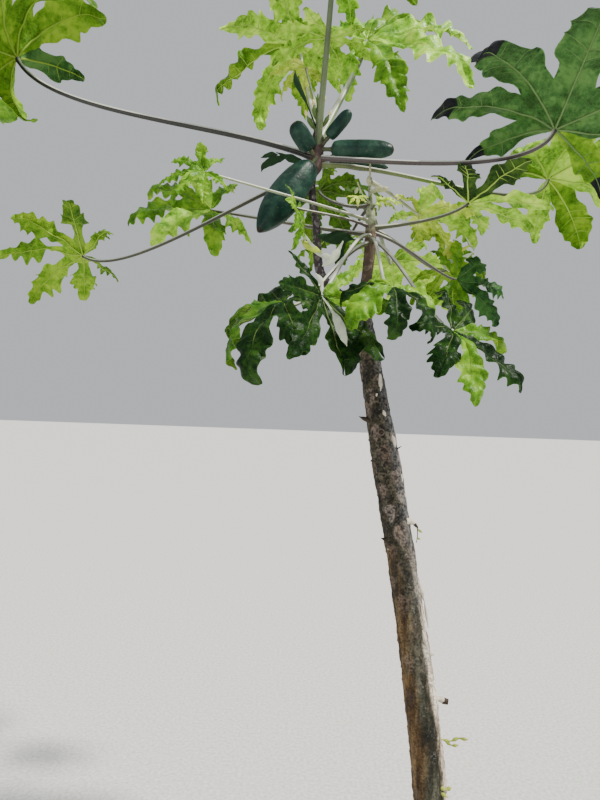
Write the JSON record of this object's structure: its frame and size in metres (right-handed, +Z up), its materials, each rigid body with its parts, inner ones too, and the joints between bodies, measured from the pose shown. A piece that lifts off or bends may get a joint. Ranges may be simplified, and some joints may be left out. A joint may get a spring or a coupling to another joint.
{
  "type": "papaya tree",
  "caption": "Young fruiting papaya tree: a leaning scarred trunk forks into stems that carry long-stalked lobed leaves and green fruit.",
  "frame": {"origin": "centre of the trunk's flat cut at ground level", "axes": "+Z up, +X towards the side away from the trunk's lean, -Y towards the front"},
  "size_m": [1.852, 1.473, 2.8431],
  "materials": {
    "bark": "pale grey-brown bark, matt, with leaf scars",
    "stem": "grey-brown young stem, matt, ringed with leaf scars",
    "stalk": "pale green hollow leaf stalk, satin, with a purple-grey tinge",
    "leaf": "deep green leaf, slightly waxy, paler beneath",
    "young_leaf": "yellow-green young leaf, slightly waxy",
    "fruit": "waxy blue-green unripe fruit, blunt ridges"
  },
  "bodies": {
    "root": {"trunk": "bark", "side_stem": "stem", "upper_stem": "stem", "upper_blade_high_left": "leaf", "upper_stalk_high_left": "stalk", "upper_blade_top_front": "leaf", "upper_stalk_top_front": "stalk", "upper_blade_top_left": "leaf", "upper_stalk_top_left": "stalk", "upper_blade_top_middle": "leaf", "upper_stalk_top_middle": "stalk", "upper_blade_top_right": "leaf", "upper_stalk_top_right": "stalk", "upper_blade_right_dark": "leaf", "upper_stalk_right_dark": "stalk", "upper_blade_low_left": "leaf", "upper_stalk_low_left": "stalk", "upper_blade_back": "leaf", "upper_stalk_back": "stalk", "upper_blade_right_bright": "leaf", "upper_stalk_right_bright": "stalk", "side_blade_left_edge_on": "leaf", "side_stalk_left_edge_on": "stalk", "side_blade_right_long": "leaf", "side_stalk_right_long": "stalk", "side_blade_right_low": "leaf", "side_stalk_right_low": "stalk", "side_blade_right_front": "leaf", "side_stalk_right_front": "stalk", "side_blade_front_left": "leaf", "side_stalk_front_left": "stalk", "side_blade_mid_left": "leaf", "side_stalk_mid_left": "stalk", "side_blade_mid_dark": "leaf", "side_stalk_mid_dark": "stalk", "side_blade_left_low": "leaf", "side_stalk_left_low": "stalk", "side_blade_front": "leaf", "side_stalk_front": "stalk", "side_blade_right_young": "leaf", "side_stalk_right_young": "stalk", "side_blade_back_right": "leaf", "side_stalk_back_right": "stalk", "side_blade_back_low": "leaf", "side_stalk_back_low": "stalk", "side_blade_back_left": "leaf", "side_stalk_back_left": "stalk", "side_blade_left_hang": "leaf", "side_stalk_left_hang": "stalk", "upper_blade_young_a": "young_leaf", "upper_stalk_young_a": "stalk", "side_blade_young_a": "young_leaf", "side_stalk_young_a": "stalk", "side_blade_young_b": "young_leaf", "side_stalk_young_b": "stalk", "fruit_large": "fruit", "fruit_front": "fruit", "fruit_upright": "fruit", "fruit_right": "fruit", "fruit_right_back": "fruit"}
  },
  "joints": []
}
